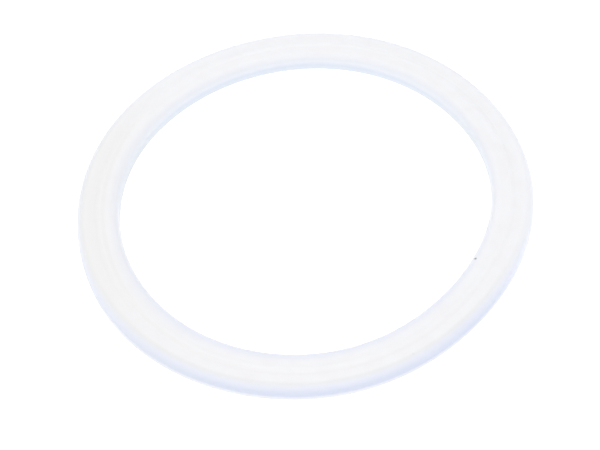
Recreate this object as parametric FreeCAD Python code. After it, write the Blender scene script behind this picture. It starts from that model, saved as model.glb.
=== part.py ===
"""Blender gasket: one silicone sealing ring, moulded in one piece, lying flat on its seat face.

Millimetres, +Z up. The origin is at the centre of the ring on the plane that it lies on. The section is
drawn in the XZ plane, with X as the radius, and is turned once about Z.
"""
import FreeCAD, Part
import os
from math import acos, hypot, tan

# Driving sizes
bore_radius = 32.5
inner_band_width = 3.3
step_run = 0.8
outer_band_width = 3.4
outer_edge_height = 3.1
outer_band_fall = 0.2
step_height = 0.3
seat_inner_chamfer = 0.7
seat_outer_chamfer = 0.7
face_outer_rounding = 1.4
face_inner_rounding = 1.3

# Sizes that follow
inner_band_edge = bore_radius + inner_band_width
outer_band_edge = inner_band_edge + step_run
outer_radius = outer_band_edge + outer_band_width
outer_band_height = outer_edge_height + outer_band_fall
thickness = outer_band_height + step_height


class Corner:
    """One corner of the section: its radius from the axis, its height and its rounding."""

    def __init__(self, radius, height, rounding=0.0):
        self.point = FreeCAD.Vector(radius, 0.0, height)
        self.rounding = rounding


def rounded_section(corners):
    """Join corners, given in order round the section, by straight runs and tangent arcs."""
    starts = []
    ends = []
    middles = []
    count = len(corners)
    for index, corner in enumerate(corners):
        before = corners[index - 1].point
        after = corners[(index + 1) % count].point
        to_before = (before - corner.point).normalize()
        to_after = (after - corner.point).normalize()
        half_angle = acos(to_before.dot(to_after)) / 2.0
        reach = corner.rounding / tan(half_angle)
        starts.append(corner.point + to_before * reach)
        ends.append(corner.point + to_after * reach)
        bisector = (to_before + to_after).normalize()
        to_centre = hypot(reach, corner.rounding)
        middles.append(corner.point + bisector * (to_centre - corner.rounding))
    edges = []
    for index, corner in enumerate(corners):
        if corner.rounding > 0.0:
            edges.append(Part.Arc(starts[index], middles[index], ends[index]).toShape())
        following = (index + 1) % count
        edges.append(Part.LineSegment(ends[index], starts[following]).toShape())
    return Part.Face(Part.Wire(edges))


def sealing_ring():
    """The gasket: a flat inner band, a shallow step and an outer band that falls to the edge, turned once."""
    section = rounded_section([
        Corner(bore_radius, seat_inner_chamfer),
        Corner(bore_radius + seat_inner_chamfer, 0.0),
        Corner(outer_radius - seat_outer_chamfer, 0.0),
        Corner(outer_radius, seat_outer_chamfer),
        Corner(outer_radius, outer_edge_height, face_outer_rounding),
        Corner(outer_band_edge, outer_band_height),
        Corner(inner_band_edge, thickness),
        Corner(bore_radius, thickness, face_inner_rounding),
    ])
    return section.revolve(FreeCAD.Vector(0, 0, 0), FreeCAD.Vector(0, 0, 1), 360)


os.makedirs("parts", exist_ok=True)
ring = sealing_ring()
ring.exportStep("parts/sealing_ring.step")
print("sealing_ring", ring.ShapeType, "valid", ring.isValid(), "volume mm3", round(ring.Volume, 1))
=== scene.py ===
import logging
import math
from collections.abc import Iterable
from dataclasses import dataclass, field
from enum import Enum

import bmesh
import bpy
from mathutils import Matrix, Vector


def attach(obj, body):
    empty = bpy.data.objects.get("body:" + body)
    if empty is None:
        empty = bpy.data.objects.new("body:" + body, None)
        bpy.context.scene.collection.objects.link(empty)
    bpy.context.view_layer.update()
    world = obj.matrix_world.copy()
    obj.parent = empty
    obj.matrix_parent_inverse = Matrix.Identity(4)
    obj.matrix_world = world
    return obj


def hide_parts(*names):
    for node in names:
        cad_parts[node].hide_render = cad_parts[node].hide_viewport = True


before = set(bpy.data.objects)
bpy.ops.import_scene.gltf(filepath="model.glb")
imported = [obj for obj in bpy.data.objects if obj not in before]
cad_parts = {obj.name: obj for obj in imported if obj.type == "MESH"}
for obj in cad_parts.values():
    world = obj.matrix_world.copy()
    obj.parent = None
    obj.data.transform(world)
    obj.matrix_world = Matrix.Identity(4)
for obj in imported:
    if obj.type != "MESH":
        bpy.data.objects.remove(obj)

LOG = logging.getLogger("gasket")
BODY = "root"
GASKET_NODE = "sealing_ring"
GASKET_PIECE = "gasket_ring"
SILICONE_SLOT = "milky_silicone"
MOULD_RADIUS = "mould_radius"
MM = 0.001

# The sockets of a Mix node that mixes colours, by number because their names repeat.
MIX_FACTOR, MIX_FIRST, MIX_SECOND, MIX_RESULT = 0, 6, 7, 2

# A colour, and a colour or the socket that gives one.
Colour = tuple[float, float, float, float]
Paint = Colour | bpy.types.NodeSocket


def tint(red: float, green: float, blue: float) -> Colour:
    """Return an opaque colour.

    Args:
        red: the red share, 0 to 1.
        green: the green share, 0 to 1.
        blue: the blue share, 0 to 1.

    Returns:
        The colour with an alpha of 1.
    """
    return (red, green, blue, 1.0)


class Arithmetic(Enum):
    """The sums that a signal can be part of."""

    ADD = "ADD"
    SUBTRACT = "SUBTRACT"
    MULTIPLY = "MULTIPLY"
    DIVIDE = "DIVIDE"


class Signal:
    """A number on a surface: a shader socket that ordinary arithmetic can be written on."""

    def __init__(self, nodes: "NodeSheet", socket: bpy.types.NodeSocket) -> None:
        """Wrap one output socket.

        Args:
            nodes: the node sheet that the socket belongs to.
            socket: the output socket that carries the number.
        """
        self.nodes = nodes
        self.socket = socket

    def _with(self, operation: Arithmetic, left: "Signal | float", right: "Signal | float") -> "Signal":
        """Return the Math node of two operands.

        Args:
            operation: the sum to make.
            left: the first operand.
            right: the second operand.

        Returns:
            The result as a new signal.
        """
        node = self.nodes.add("ShaderNodeMath", {"operation": operation.value}, {0: left, 1: right})
        return Signal(self.nodes, node.outputs[0])

    def __add__(self, other: "Signal | float") -> "Signal":
        """Return self + other."""
        return self._with(Arithmetic.ADD, self, other)

    def __radd__(self, other: float) -> "Signal":
        """Return other + self."""
        return self._with(Arithmetic.ADD, other, self)

    def __sub__(self, other: "Signal | float") -> "Signal":
        """Return self - other."""
        return self._with(Arithmetic.SUBTRACT, self, other)

    def __rsub__(self, other: float) -> "Signal":
        """Return other - self."""
        return self._with(Arithmetic.SUBTRACT, other, self)

    def __mul__(self, other: "Signal | float") -> "Signal":
        """Return self * other."""
        return self._with(Arithmetic.MULTIPLY, self, other)

    def __rmul__(self, other: float) -> "Signal":
        """Return other * self."""
        return self._with(Arithmetic.MULTIPLY, other, self)

    def __truediv__(self, other: "Signal | float") -> "Signal":
        """Return self / other."""
        return self._with(Arithmetic.DIVIDE, self, other)


@dataclass(frozen=True)
class Rise:
    """Where a mask rises: the number at which it is 0 and the number at which it is 1."""

    start: float
    end: float


class NodeSheet:
    """The nodes of one material, with short ways to add and join them."""

    def __init__(self, name: str) -> None:
        """Start an empty material.

        Args:
            name: the material's name.
        """
        self.material = bpy.data.materials.new(name)
        self.material.use_nodes = True
        self.tree = self.material.node_tree
        self.tree.nodes.clear()

    def add(
        self, kind: str, settings: dict[str, object], inputs: dict[str | int, object],
    ) -> bpy.types.Node:
        """Add one node, set it, and feed it.

        Args:
            kind: the node's type name.
            settings: attributes of the node, set first.
            inputs: values, signals or sockets by input name or number.

        Returns:
            The new node.
        """
        node = self.tree.nodes.new(kind)
        for key, setting in settings.items():
            setattr(node, key, setting)
        for key, value in inputs.items():
            self.feed(node.inputs[key], value)
        return node

    def feed(self, target: bpy.types.NodeSocket, value: object) -> None:
        """Set an input socket to a value, or link what feeds it.

        Args:
            target: the input socket.
            value: a number, a colour, a vector, a signal or an output socket.
        """
        source = value.socket if isinstance(value, Signal) else value
        if isinstance(source, bpy.types.NodeSocket):
            self.tree.links.new(source, target)
        else:
            target.default_value = source

    def mask(self, value: Signal, low: "Signal | float", high: "Signal | float") -> Signal:
        """Return a mask that goes softly from 0 at low to 1 at high.

        Args:
            value: the number that the mask follows.
            low: the number at which the mask is 0.
            high: the number at which the mask is 1.

        Returns:
            The mask as a signal.
        """
        settings = {"interpolation_type": "SMOOTHSTEP", "clamp": True}
        inputs = {"Value": value, "From Min": low, "From Max": high, "To Min": 0.0, "To Max": 1.0}
        return Signal(self, self.add("ShaderNodeMapRange", settings, inputs).outputs["Result"])

    def rising(self, value: Signal, rise: Rise) -> Signal:
        """Return a mask over a fixed rise.

        Args:
            value: the number that the mask follows.
            rise: where the mask rises.

        Returns:
            The mask as a signal.
        """
        return self.mask(value, rise.start, rise.end)

    def either_way(self, value: Signal, rise: Rise) -> Signal:
        """Return a mask over the distance from 0, alike above and below it.

        Args:
            value: the number that the mask follows.
            rise: the distances from 0 at which the mask is 0 and 1.

        Returns:
            The mask as a signal.
        """
        return self.mask(value * value, rise.start ** 2, rise.end ** 2)

    def mix(self, factor: Signal, first: Paint, second: Paint) -> bpy.types.NodeSocket:
        """Return a colour mixed from two.

        Args:
            factor: 0 for the first colour, 1 for the second.
            first: a colour or a colour socket.
            second: a colour or a colour socket.

        Returns:
            The mixed colour's socket.
        """
        inputs = {MIX_FACTOR: factor, MIX_FIRST: first, MIX_SECOND: second}
        return self.add("ShaderNodeMix", {"data_type": "RGBA"}, inputs).outputs[MIX_RESULT]

    def noise(self, coordinates: bpy.types.NodeSocket, scale: float, detail: float) -> Signal:
        """Return smooth noise from 0 to 1.

        Args:
            coordinates: the vector that the noise follows.
            scale: ripples in a metre.
            detail: octaves.

        Returns:
            The noise as a signal.
        """
        inputs = {"Vector": coordinates, "Scale": scale, "Detail": detail}
        return Signal(self, self.add("ShaderNodeTexNoise", {}, inputs).outputs["Fac"])


def mesh_of(name: str, shape: bmesh.types.BMesh) -> bpy.types.Mesh:
    """Return a mesh with a finished shape, and free the shape.

    Args:
        name: the mesh's name.
        shape: the shape to keep.

    Returns:
        The new mesh.
    """
    mesh = bpy.data.meshes.new(name)
    shape.to_mesh(mesh)
    shape.free()
    return mesh


def in_scene(data: bpy.types.Mesh | bpy.types.Camera | bpy.types.Light) -> bpy.types.Object:
    """Return a new object in the scene, named as what it holds.

    Args:
        data: the mesh, camera or light.

    Returns:
        The object, at the origin.
    """
    thing = bpy.data.objects.new(data.name, data)
    bpy.context.scene.collection.objects.link(thing)
    return thing


@dataclass(frozen=True)
class SectionCorner:
    """One corner of the ring's section: radius from the axis, height and rounding, in metres."""

    radius: float
    height: float
    rounding: float

    @property
    def point(self) -> Vector:
        """Return the corner's point in the XZ plane."""
        return Vector((self.radius, 0.0, self.height))


@dataclass
class GasketSection:
    """The section of the ring, repeated from the part's source, in metres."""

    bore_radius: float = 32.5 * MM
    inner_band_width: float = 3.3 * MM
    step_run: float = 0.8 * MM
    outer_band_width: float = 3.4 * MM
    outer_edge_height: float = 3.1 * MM
    outer_band_fall: float = 0.2 * MM
    step_height: float = 0.3 * MM
    seat_inner_chamfer: float = 0.7 * MM
    seat_outer_chamfer: float = 0.7 * MM
    face_outer_rounding: float = 1.4 * MM
    face_inner_rounding: float = 1.3 * MM
    seat_softness: float = 0.3 * MM
    step_softness: float = 2.0 * MM
    arc_steps: int = 8
    flat_step: float = 0.5 * MM

    @property
    def inner_band_edge(self) -> float:
        """Return the radius at which the raised inner band ends."""
        return self.bore_radius + self.inner_band_width

    @property
    def outer_band_edge(self) -> float:
        """Return the radius at which the lower outer band begins."""
        return self.inner_band_edge + self.step_run

    @property
    def outer_radius(self) -> float:
        """Return the outside radius."""
        return self.outer_band_edge + self.outer_band_width

    @property
    def outer_band_height(self) -> float:
        """Return the height of the outer band at the foot of the step."""
        return self.outer_edge_height + self.outer_band_fall

    @property
    def thickness(self) -> float:
        """Return the height of the raised inner band."""
        return self.outer_band_height + self.step_height

    def corners(self) -> list[SectionCorner]:
        """Return the corners in order round the section."""
        inner, outer = self.bore_radius, self.outer_radius
        return [
            SectionCorner(inner, self.seat_inner_chamfer, self.seat_softness),
            SectionCorner(inner + self.seat_inner_chamfer, 0.0, self.seat_softness),
            SectionCorner(outer - self.seat_outer_chamfer, 0.0, self.seat_softness),
            SectionCorner(outer, self.seat_outer_chamfer, self.seat_softness),
            SectionCorner(outer, self.outer_edge_height, self.face_outer_rounding),
            SectionCorner(self.outer_band_edge, self.outer_band_height, self.step_softness),
            SectionCorner(self.inner_band_edge, self.thickness, self.step_softness),
            SectionCorner(inner, self.thickness, self.face_inner_rounding),
        ]

    def outline(self) -> list[Vector]:
        """Return the section's points, with its roundings as arcs, in the XZ plane."""
        corners = self.corners()
        points: list[Vector] = []
        for index, corner in enumerate(corners):
            points += self._arc(corners[index - 1], corner, corners[(index + 1) % len(corners)])
        return self._with_even_runs(points)

    def _arc(self, before: SectionCorner, corner: SectionCorner, after: SectionCorner) -> list[Vector]:
        """Return the rounding of one corner.

        Args:
            before: the corner before it.
            corner: the corner to round.
            after: the corner after it.

        Returns:
            Points along the arc that is tangent to both runs.
        """
        here = corner.point
        back = (before.point - here).normalized()
        ahead = (after.point - here).normalized()
        half = back.angle(ahead) / 2.0
        reach = corner.rounding / math.tan(half)
        centre = here + (back + ahead).normalized() * (corner.rounding / math.sin(half))
        start = (here + back * reach - centre).normalized()
        end = (here + ahead * reach - centre).normalized()
        shares = [step / self.arc_steps for step in range(self.arc_steps + 1)]
        return [centre + start.slerp(end, share) * corner.rounding for share in shares]

    def _with_even_runs(self, points: list[Vector]) -> list[Vector]:
        """Return the points with long straight runs divided.

        Args:
            points: the closed outline.

        Returns:
            The outline with no run much longer than the flat step.
        """
        divided: list[Vector] = []
        for index, point in enumerate(points):
            following = points[(index + 1) % len(points)]
            parts = max(1, round((following - point).length / self.flat_step))
            divided += [point.lerp(following, part / parts) for part in range(parts)]
        return divided


@dataclass(frozen=True)
class RingPlace:
    """Where a point of the ring lies, as signals that the tints follow.

    The radius is the moulded one, and the height is a share of the thickness. The rest are masks. Near, far,
    left and right are the ring's sides as the photo shows them, and aside is both ends of its width. Flank
    is narrower and leaves out the near half, and lip is narrower again and on the left only.
    """

    point: bpy.types.NodeSocket
    x: Signal
    y: Signal
    radius: Signal
    height: Signal
    near: Signal
    far: Signal
    left: Signal
    right: Signal
    aside: Signal
    flank: Signal
    lip: Signal


@dataclass(frozen=True)
class RingSides:
    """Where the masks of the ring's sides rise, which place the painted light and shade, and the soft
    clouding of the left side's painted shade.
    """

    near_rise: Rise = Rise(-4 * MM, -32 * MM)
    far_rise: Rise = Rise(16 * MM, 36 * MM)
    left_rise: Rise = Rise(-4 * MM, -38 * MM)
    left_fade: Rise = Rise(32 * MM, 12 * MM)
    right_rise: Rise = Rise(22 * MM, 38 * MM)
    aside_rise: Rise = Rise(16 * MM, 31 * MM)
    flank_rise: Rise = Rise(24 * MM, 31 * MM)
    lip_rise: Rise = Rise(29.5 * MM, 32.3 * MM)
    flank_start: Rise = Rise(-1 * MM, 4 * MM)
    lip_start: Rise = Rise(-4 * MM, 1 * MM)
    cloud_scale: float = 60.0
    cloud_detail: float = 2.0
    cloud_rise: Rise = Rise(0.3, 0.7)
    cloud_share: float = 0.2

    def place(self, sheet: NodeSheet, section: GasketSection) -> RingPlace:
        """Return where a point of the ring lies.

        Args:
            sheet: the material's nodes.
            section: the ring's section.

        Returns:
            The place as signals.
        """
        point = sheet.add("ShaderNodeTexCoord", {}, {}).outputs["Object"]
        split = sheet.add("ShaderNodeSeparateXYZ", {}, {0: point})
        x, y, z = (Signal(sheet, split.outputs[axis]) for axis in "XYZ")
        moulded = sheet.add("ShaderNodeAttribute", {"attribute_name": MOULD_RADIUS}, {})
        cloud = sheet.rising(sheet.noise(point, self.cloud_scale, self.cloud_detail), self.cloud_rise)
        near = sheet.rising(y, self.near_rise)
        cloudy = (1.0 - self.cloud_share) + self.cloud_share * cloud
        left = cloudy * sheet.rising(x, self.left_rise) * sheet.rising(y, self.left_fade)
        return RingPlace(
            point=point,
            x=x,
            y=y,
            radius=Signal(sheet, moulded.outputs["Fac"]),
            height=z / section.thickness,
            near=near,
            far=sheet.rising(y, self.far_rise),
            left=left,
            right=(1.0 - near) * sheet.rising(x, self.right_rise),
            aside=sheet.either_way(x, self.aside_rise),
            flank=sheet.rising(y, self.flank_start) * sheet.either_way(x, self.flank_rise),
            lip=sheet.rising(y, self.lip_start) * sheet.either_way(x, self.lip_rise) * left,
        )


@dataclass(frozen=True)
class PaintedStepShading:
    """A faint painted band along the step, darker for painted shade and lighter for painted light: its
    colour, its place outside the line, its half width and its weight.
    """

    colour: Colour
    offset: float
    half_width: float
    weight: float

    def paint(
        self, sheet: NodeSheet, past_crease: Signal, side: Signal, colour: bpy.types.NodeSocket,
    ) -> bpy.types.NodeSocket:
        """Add the painted band of shade or light.

        Args:
            sheet: the material's nodes.
            past_crease: how far outside the line of the step the point lies.
            side: a mask of the side of the ring that has the tone.
            colour: the colour so far.

        Returns:
            The colour with the tone on it.
        """
        band = sheet.either_way(past_crease - self.offset, Rise(self.half_width, 0.0))
        return sheet.mix(band * side * self.weight, colour, self.colour)


@dataclass(frozen=True)
class FaceTints:
    """The broad face: its body colour and mottle, a warmer painted shade on its left side, and painted shade
    and painted light along the step.
    """

    body: Colour = tint(0.838, 0.841, 0.848)
    mottle: Colour = tint(0.826, 0.823, 0.832)
    # Painted shade, warmer and darker, on the left side of the face.
    left_shade: Colour = tint(0.818, 0.813, 0.802)
    mottle_scale: float = 320.0
    mottle_detail: float = 3.0
    mottle_rise: Rise = Rise(0.35, 0.75)
    crease_offset: float = 0.1 * MM
    crease_shift_near: float = 0.6 * MM
    crease_shift_left: float = 0.6 * MM
    # Painted shade in a line along the step, stronger on the left and near sides; painted light beside it on
    # the far side and painted shade inside it on the near side.
    crease_shade_left: float = 0.38
    crease_shade_near: float = 0.24
    crease_shade: PaintedStepShading = PaintedStepShading(tint(0.790, 0.783, 0.772), 0.0, 0.5 * MM, 1.0)
    far_step_light: PaintedStepShading = PaintedStepShading(tint(0.88, 0.885, 0.89), 0.3 * MM, 0.9 * MM, 0.45)
    near_step_shade: PaintedStepShading = PaintedStepShading(tint(0.79, 0.79, 0.79), -0.8 * MM, 0.6 * MM, 0.25)
    band_rise: Rise = Rise(-0.7 * MM, 0.1 * MM)
    left_shade_inside: float = 0.4
    left_shade_loss_near: float = 0.5

    def paint(self, sheet: NodeSheet, place: RingPlace, section: GasketSection) -> bpy.types.NodeSocket:
        """Colour the face.

        Args:
            sheet: the material's nodes.
            place: where the point lies.
            section: the ring's section.

        Returns:
            The face's colour.
        """
        cloud = sheet.noise(place.point, self.mottle_scale, self.mottle_detail)
        colour = sheet.mix(sheet.rising(cloud, self.mottle_rise), self.body, self.mottle)
        shift = self.crease_shift_near * place.near - self.crease_shift_left * place.left
        past_crease = place.radius - (section.inner_band_edge + self.crease_offset + shift)
        outer_band = sheet.rising(past_crease, self.band_rise)
        # Painted shade on the left side, weaker inside the step and towards the near side.
        left_shade_weight = place.left * (self.left_shade_inside + (1.0 - self.left_shade_inside) * outer_band)
        left_shade_weight = left_shade_weight * (1.0 - self.left_shade_loss_near * place.near)
        colour = sheet.mix(left_shade_weight, colour, self.left_shade)
        # Painted shade and painted light along the step, weighted by side.
        crease_shade_weight = self.crease_shade_left * place.left + self.crease_shade_near * place.near
        tones = ((self.crease_shade, crease_shade_weight), (self.far_step_light, place.far), (self.near_step_shade, place.near))
        for tone, side in tones:
            colour = tone.paint(sheet, past_crease, side, colour)
        return colour


@dataclass(frozen=True)
class EdgeTints:
    """The roundings and the walls: painted shade, darker and bluer where they turn from the light, the
    walls' blue partly the rubber seen through; painted light at the foot, lit from the bright floor.
    """

    # Painted shade on the roundings, with copies for the near side and the ends of the width.
    inner_edge_shade: Colour = tint(0.735, 0.748, 0.785)
    inner_edge_near_shade: Colour = tint(0.73, 0.75, 0.825)
    outer_edge_shade: Colour = tint(0.745, 0.765, 0.845)
    outer_edge_aside_shade: Colour = tint(0.752, 0.765, 0.80)
    # Painted shade on the outer shoulder, near and on the left.
    shoulder_shade: Colour = tint(0.66, 0.655, 0.57)
    # Wall colours: the rubber's blue seen through, darkened as painted shade, with greyer shaded copies
    # aside, at the lip and on the left.
    inner_wall: Colour = tint(0.625, 0.672, 0.74)
    inner_wall_aside: Colour = tint(0.625, 0.66, 0.70)
    inner_wall_lip: Colour = tint(0.59, 0.623, 0.66)
    outer_wall: Colour = tint(0.567, 0.607, 0.71)
    outer_wall_left: Colour = tint(0.565, 0.595, 0.65)
    # Painted light at the foot, from the bright floor.
    lit_foot: Colour = tint(0.70, 0.71, 0.737)
    lit_foot_left: Colour = tint(0.685, 0.695, 0.69)
    inner_width: float = 1.5 * MM
    inner_width_near: float = 0.9 * MM
    inner_width_left: float = 0.7 * MM
    outer_width: float = 1.7 * MM
    outer_width_near: float = 0.35 * MM
    # Widths and weights of the painted shade and light, by side.
    inner_loss_left: float = 0.08
    shoulder_rise: Rise = Rise(-2.1 * MM, -1.3 * MM)
    shoulder_weight_near: float = 0.28
    shoulder_weight_left: float = 0.5
    wall_rise: Rise = Rise(0.48, 0.80)
    wall_rise_near: float = 0.18
    wall_rise_flank: float = 0.16
    outer_wall_weight: float = 0.75
    right_relief: float = 0.95
    left_relief: float = 0.2
    foot_rise: Rise = Rise(0.32, 0.52)
    inner_foot_weight: float = 0.35

    def paint(
        self, sheet: NodeSheet, place: RingPlace, section: GasketSection, colour: bpy.types.NodeSocket,
    ) -> bpy.types.NodeSocket:
        """Paint the shade and light of the roundings and the walls.

        Args:
            sheet: the material's nodes.
            place: where the point lies.
            section: the ring's section.
            colour: the colour so far.

        Returns:
            The tinted colour.
        """
        for weight, layer in self._layers(sheet, place, section):
            colour = sheet.mix(weight, colour, layer)
        return colour

    def _layers(
        self, sheet: NodeSheet, place: RingPlace, section: GasketSection,
    ) -> list[tuple[Signal, Paint]]:
        """Return the tints in the order in which they are laid on, each with its weight.

        Args:
            sheet: the material's nodes.
            place: where the point lies.
            section: the ring's section.

        Returns:
            Pairs of a weight and a colour.
        """
        bore, rim = section.bore_radius, section.outer_radius
        near, left, not_near = place.near, place.left, 1.0 - place.near
        inner_width = self.inner_width_near * near + self.inner_width_left * left + self.inner_width
        inner = 1.0 - sheet.mask(place.radius, bore, inner_width + bore)
        inner = inner * (1.0 - self.inner_loss_left * left)
        outer = sheet.mask(place.radius, rim - self.outer_width - self.outer_width_near * near, rim)
        shoulder_shade = sheet.rising(place.radius - rim, self.shoulder_rise) * near * self.shoulder_weight_near
        shoulder_shade = shoulder_shade + outer * left * not_near * self.shoulder_weight_left
        wall_top = self.wall_rise_near * near + self.wall_rise_flank * place.flank + self.wall_rise.end
        wall = 1.0 - sheet.mask(place.height, self.wall_rise.start, wall_top)
        outer_wall = self.outer_wall_weight + (1.0 - self.outer_wall_weight) * near
        outer_wall = outer_wall * (1.0 - self.right_relief * place.right) * (1.0 - self.left_relief * left)
        foot = 1.0 - sheet.rising(place.height, self.foot_rise)
        lit_foot = foot * (self.inner_foot_weight * inner + outer)
        inner_wall_tint = sheet.mix(place.aside, self.inner_wall, self.inner_wall_aside)
        return [
            (shoulder_shade, self.shoulder_shade),
            (inner, sheet.mix(near, self.inner_edge_shade, self.inner_edge_near_shade)),
            (outer, sheet.mix(place.aside * not_near, self.outer_edge_shade, self.outer_edge_aside_shade)),
            (inner * wall, sheet.mix(place.lip, inner_wall_tint, self.inner_wall_lip)),
            (outer * wall * outer_wall, sheet.mix(left, self.outer_wall, self.outer_wall_left)),
            (lit_foot, sheet.mix(left, self.lit_foot, self.lit_foot_left)),
        ]


@dataclass(frozen=True)
class Speck:
    """A speck of dirt on the face: its place, its radius in metres and how plainly it shows."""

    x: float
    y: float
    radius: float
    strength: float


@dataclass(frozen=True)
class Dirt:
    """The few specks of dirt on the face, which the walls and the seat don't have."""

    colour: Colour = tint(0.30, 0.29, 0.28)
    specks: tuple[Speck, ...] = (
        Speck(28.1 * MM, -16.8 * MM, 0.27 * MM, 1.0),
        Speck(15.8 * MM, -34.8 * MM, 0.30 * MM, 0.08),
        Speck(-1.3 * MM, -33.7 * MM, 0.30 * MM, 0.06),
        Speck(3.0 * MM, -33.6 * MM, 0.30 * MM, 0.08),
    )
    face_rise: Rise = Rise(0.6, 0.8)

    def paint(
        self, sheet: NodeSheet, place: RingPlace, colour: bpy.types.NodeSocket,
    ) -> bpy.types.NodeSocket:
        """Add the specks.

        Args:
            sheet: the material's nodes.
            place: where the point lies.
            colour: the colour so far.

        Returns:
            The colour with the specks on it.
        """
        on_face = sheet.rising(place.height, self.face_rise)
        for speck in self.specks:
            along, across = place.x - speck.x, place.y - speck.y
            spot = sheet.mask(along * along + across * across, speck.radius ** 2, 0.0)
            colour = sheet.mix(spot * on_face * speck.strength, colour, self.colour)
        return colour


@dataclass(frozen=True)
class MilkySilicone:
    """Translucent white silicone rubber: neutral on the broad faces, with painted shade and painted light
    laid into its colour by side, along the step and on the edges; bluish where the walls stand, partly the
    rubber seen through and partly painted shade.
    """

    sides: RingSides = RingSides()
    face: FaceTints = FaceTints()
    edges: EdgeTints = EdgeTints()
    dirt: Dirt = Dirt()
    grain_scale: float = 1800.0
    grain_detail: float = 3.0
    grain_strength: float = 0.25
    grain_depth: float = 0.02 * MM
    roughness: float = 0.38
    refractive_index: float = 1.41
    scatter_weight: float = 0.6
    scatter_reach: tuple[float, float, float] = (1.0, 1.0, 1.0)
    scatter_scale: float = 1.2 * MM

    def build(self, section: GasketSection) -> bpy.types.Material:
        """Make the material.

        Args:
            section: the ring's section, whose radii and height place the tints.

        Returns:
            The finished material.
        """
        sheet = NodeSheet(SILICONE_SLOT)
        place = self.sides.place(sheet, section)
        colour = self.face.paint(sheet, place, section)
        colour = self.edges.paint(sheet, place, section, colour)
        colour = self.dirt.paint(sheet, place, colour)
        grain = sheet.noise(place.point, self.grain_scale, self.grain_detail)
        bump_inputs = {"Strength": self.grain_strength, "Distance": self.grain_depth, "Height": grain}
        bump = sheet.add("ShaderNodeBump", {}, bump_inputs)
        shader = sheet.add("ShaderNodeBsdfPrincipled", {"subsurface_method": "RANDOM_WALK"}, {
            "Base Color": colour,
            "Roughness": self.roughness,
            "IOR": self.refractive_index,
            "Subsurface Weight": self.scatter_weight,
            "Subsurface Radius": self.scatter_reach,
            "Subsurface Scale": self.scatter_scale,
            "Normal": bump.outputs["Normal"],
        })
        sheet.add("ShaderNodeOutputMaterial", {}, {"Surface": shader.outputs["BSDF"]})
        return sheet.material


@dataclass(frozen=True)
class Wave:
    """One wave round the ring: how often it repeats, and its cosine and sine shares of the outer radius."""

    order: int
    cosine: float
    sine: float


@dataclass(frozen=True)
class RelaxedLie:
    """How the soft ring lies a little out of round, at its bore and at its outer edge."""

    inner_waves: tuple[Wave, ...] = (
        Wave(0, -0.0012, 0.0), Wave(1, 0.0029, -0.0038), Wave(2, 0.0010, 0.0109), Wave(3, 0.0019, 0.0048),
        Wave(4, 0.0029, -0.0011), Wave(5, 0.0013, -0.0001), Wave(6, 0.0002, -0.0006),
    )
    outer_waves: tuple[Wave, ...] = (
        Wave(0, 0.0012, 0.0), Wave(1, -0.0005, -0.0034), Wave(2, -0.0016, 0.0122), Wave(3, 0.0025, 0.0029),
        Wave(4, 0.0006, -0.0008), Wave(5, 0.0023, -0.0009), Wave(6, 0.0, -0.0008),
    )

    def share(self, angle: float, across: float) -> float:
        """Return how far the ring stands out at a place on it.

        Args:
            angle: the angle about the ring's axis, from +X towards +Y.
            across: the place across the band, 0 at the bore and 1 at the outer edge.

        Returns:
            The offset as a share of the outer radius.
        """
        inner = self._sum(self.inner_waves, angle)
        outer = self._sum(self.outer_waves, angle)
        return inner + (outer - inner) * across

    def _sum(self, waves: tuple[Wave, ...], angle: float) -> float:
        """Return the sum of the waves at an angle.

        Args:
            waves: the waves to add.
            angle: the angle about the ring's axis.

        Returns:
            The offset as a share of the outer radius.
        """
        return sum(
            wave.cosine * math.cos(wave.order * angle) + wave.sine * math.sin(wave.order * angle)
            for wave in waves
        )


@dataclass
class MouldedRing:
    """The gasket: one moulded ring, spun from its section and laid as the soft rubber lies."""

    section: GasketSection = field(default_factory=GasketSection)
    lie: RelaxedLie = field(default_factory=RelaxedLie)
    finish: MilkySilicone = field(default_factory=MilkySilicone)
    spin_steps: int = 288

    def build(self) -> bpy.types.Object:
        """Make the ring's mesh and object.

        Returns:
            The ring's object, at the origin.
        """
        shape = bmesh.new()
        loop = [shape.verts.new(point) for point in self.section.outline()]
        edges = [shape.edges.new((loop[index - 1], loop[index])) for index in range(len(loop))]
        bmesh.ops.spin(
            shape, geom=loop + edges, cent=(0.0, 0.0, 0.0), axis=(0.0, 0.0, 1.0),
            angle=math.tau, steps=self.spin_steps, use_merge=True, use_duplicate=False,
        )
        bmesh.ops.recalc_face_normals(shape, faces=shape.faces)
        self._relax(shape)
        mesh = mesh_of(GASKET_PIECE, shape)
        mesh.shade_smooth()
        return in_scene(mesh)

    def _relax(self, shape: bmesh.types.BMesh) -> None:
        """Note each point's radius as moulded, then move it out or in as the ring lies out of round.

        Args:
            shape: the round ring.
        """
        inner, outer = self.section.bore_radius, self.section.outer_radius
        mould_radius = shape.verts.layers.float.new(MOULD_RADIUS)
        for vertex in shape.verts:
            angle = math.atan2(vertex.co.y, vertex.co.x)
            vertex[mould_radius] = math.hypot(vertex.co.x, vertex.co.y)
            across = (vertex[mould_radius] - inner) / (outer - inner)
            outward = Vector((math.cos(angle), math.sin(angle), 0.0))
            vertex.co += outward * self.lie.share(angle, across) * outer

    def dress(self, ring: bpy.types.Object) -> None:
        """Give the ring its finish and join it to the frame.

        Args:
            ring: the ring's object.
        """
        ring.data.materials.append(self.finish.build(self.section))
        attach(ring, BODY)
        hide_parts(GASKET_NODE)


def facing(direction: Vector) -> Matrix:
    """Return the turn of a camera or a light that looks along a direction.

    Args:
        direction: where it looks, from its own place.

    Returns:
        The turn as a 4x4 matrix.
    """
    return direction.to_track_quat("-Z", "Y").to_matrix().to_4x4()


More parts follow.
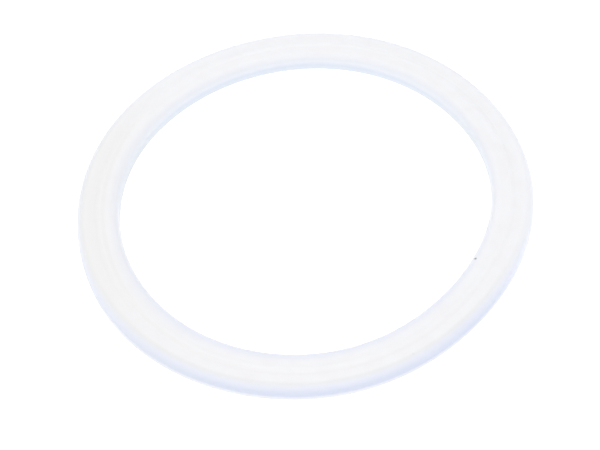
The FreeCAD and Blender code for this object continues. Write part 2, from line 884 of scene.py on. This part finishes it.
@dataclass
class PhotoCamera:
    """The camera at the photograph's viewing angle."""

    image_pixels: tuple[int, int] = (600, 450)
    ring_centre_pixel: tuple[float, float] = (304.2, 206.8)
    pixels_per_radius: float = 227.2
    ring_radius: float = 40.0 * MM
    distance_in_radii: float = 7.87
    elevation: float = math.radians(51.5)
    roll: float = math.radians(-4.74)
    sensor: float = 36.0
    nearest: float = 10.0 * MM

    def build(self) -> None:
        """Place the camera and make it the scene's own."""
        eye = Vector((0.0, -math.cos(self.elevation), math.sin(self.elevation)))
        eye *= self.distance_in_radii * self.ring_radius
        roll = Matrix.Rotation(self.roll, 4, "Z")
        view = facing(self._target(facing(-eye) @ roll) - eye) @ roll
        data = bpy.data.cameras.new("photo_camera")
        data.sensor_width = self.sensor
        data.lens = self.sensor * self.pixels_per_radius * self.distance_in_radii / self.image_pixels[0]
        data.clip_start = self.nearest
        camera = in_scene(data)
        camera.matrix_world = Matrix.Translation(eye) @ view
        bpy.context.scene.camera = camera

    def _target(self, aim: Matrix) -> Vector:
        """Return the point to look at, so that the ring's centre falls on its pixel.

        Args:
            aim: the turn of a camera that looks straight at the ring's centre.

        Returns:
            The point, in the plane through the ring's centre that faces the camera.
        """
        metres_per_pixel = self.ring_radius / self.pixels_per_radius
        right = (self.ring_centre_pixel[0] - self.image_pixels[0] / 2) * metres_per_pixel
        down = (self.ring_centre_pixel[1] - self.image_pixels[1] / 2) * metres_per_pixel
        return aim.to_3x3() @ Vector((-right, down, 0.0))


@dataclass
class Studio:
    """A plain pale floor under soft, even light, exposed so that the floor is almost white."""

    floor_size: float = 3.0
    floor_cells: int = 4
    floor_colour: Colour = tint(0.80, 0.80, 0.80)
    floor_roughness: float = 1.0
    floor_shine: float = 0.0
    floor_glow_colour: Colour = tint(1.0, 1.0, 1.0)
    floor_glow: float = 0.60
    sky_colour: Colour = tint(0.96, 0.97, 1.0)
    sky_strength: float = 0.90
    key_colour: tuple[float, float, float] = (1.0, 0.97, 0.93)
    key_watts: float = 2.5
    key_place: tuple[float, float, float] = (-0.06, -0.21, 0.84)
    key_size: float = 0.9

    def build(self) -> None:
        """Make the floor, the sky and the key light."""
        self._floor()
        self._sky()
        self._key()
        bpy.context.scene.view_settings.view_transform = "Standard"

    def _floor(self) -> None:
        """Lay the floor under the ring."""
        shape = bmesh.new()
        bmesh.ops.create_grid(
            shape, x_segments=self.floor_cells, y_segments=self.floor_cells, size=self.floor_size / 2,
        )
        floor = in_scene(mesh_of("floor", shape))
        sheet = NodeSheet("pale_floor")
        shader = sheet.add("ShaderNodeBsdfPrincipled", {}, {
            "Base Color": self.floor_colour,
            "Roughness": self.floor_roughness,
            "Specular IOR Level": self.floor_shine,
            "Emission Color": self.floor_glow_colour,
            "Emission Strength": self.floor_glow,
        })
        sheet.add("ShaderNodeOutputMaterial", {}, {"Surface": shader.outputs["BSDF"]})
        floor.data.materials.append(sheet.material)

    def _sky(self) -> None:
        """Light the room evenly from all round."""
        world = bpy.data.worlds.new("soft_room")
        world.use_nodes = True
        background = world.node_tree.nodes["Background"]
        background.inputs["Color"].default_value = self.sky_colour
        background.inputs["Strength"].default_value = self.sky_strength
        bpy.context.scene.world = world

    def _key(self) -> None:
        """Hang the large soft light high above the ring, a little to the near left."""
        data = bpy.data.lights.new("softbox", "AREA")
        data.shape = "SQUARE"
        data.size = self.key_size
        data.energy = self.key_watts
        data.color = self.key_colour
        place = Vector(self.key_place)
        in_scene(data).matrix_world = Matrix.Translation(place) @ facing(-place)


def main() -> None:
    """Build the gasket, its studio and its camera, and note the sizes."""
    logging.basicConfig(level=logging.INFO, format="%(name)s: %(message)s")
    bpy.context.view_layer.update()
    gasket = MouldedRing()
    ring = gasket.build()
    gasket.dress(ring)
    LOG.info("%s: %d faces", ring.name, len(ring.data.polygons))
    Studio().build()
    LOG.info("studio: floor, sky and softbox")
    PhotoCamera().build()
    LOG.info("camera in place")


if __name__ == "__main__":
    main()
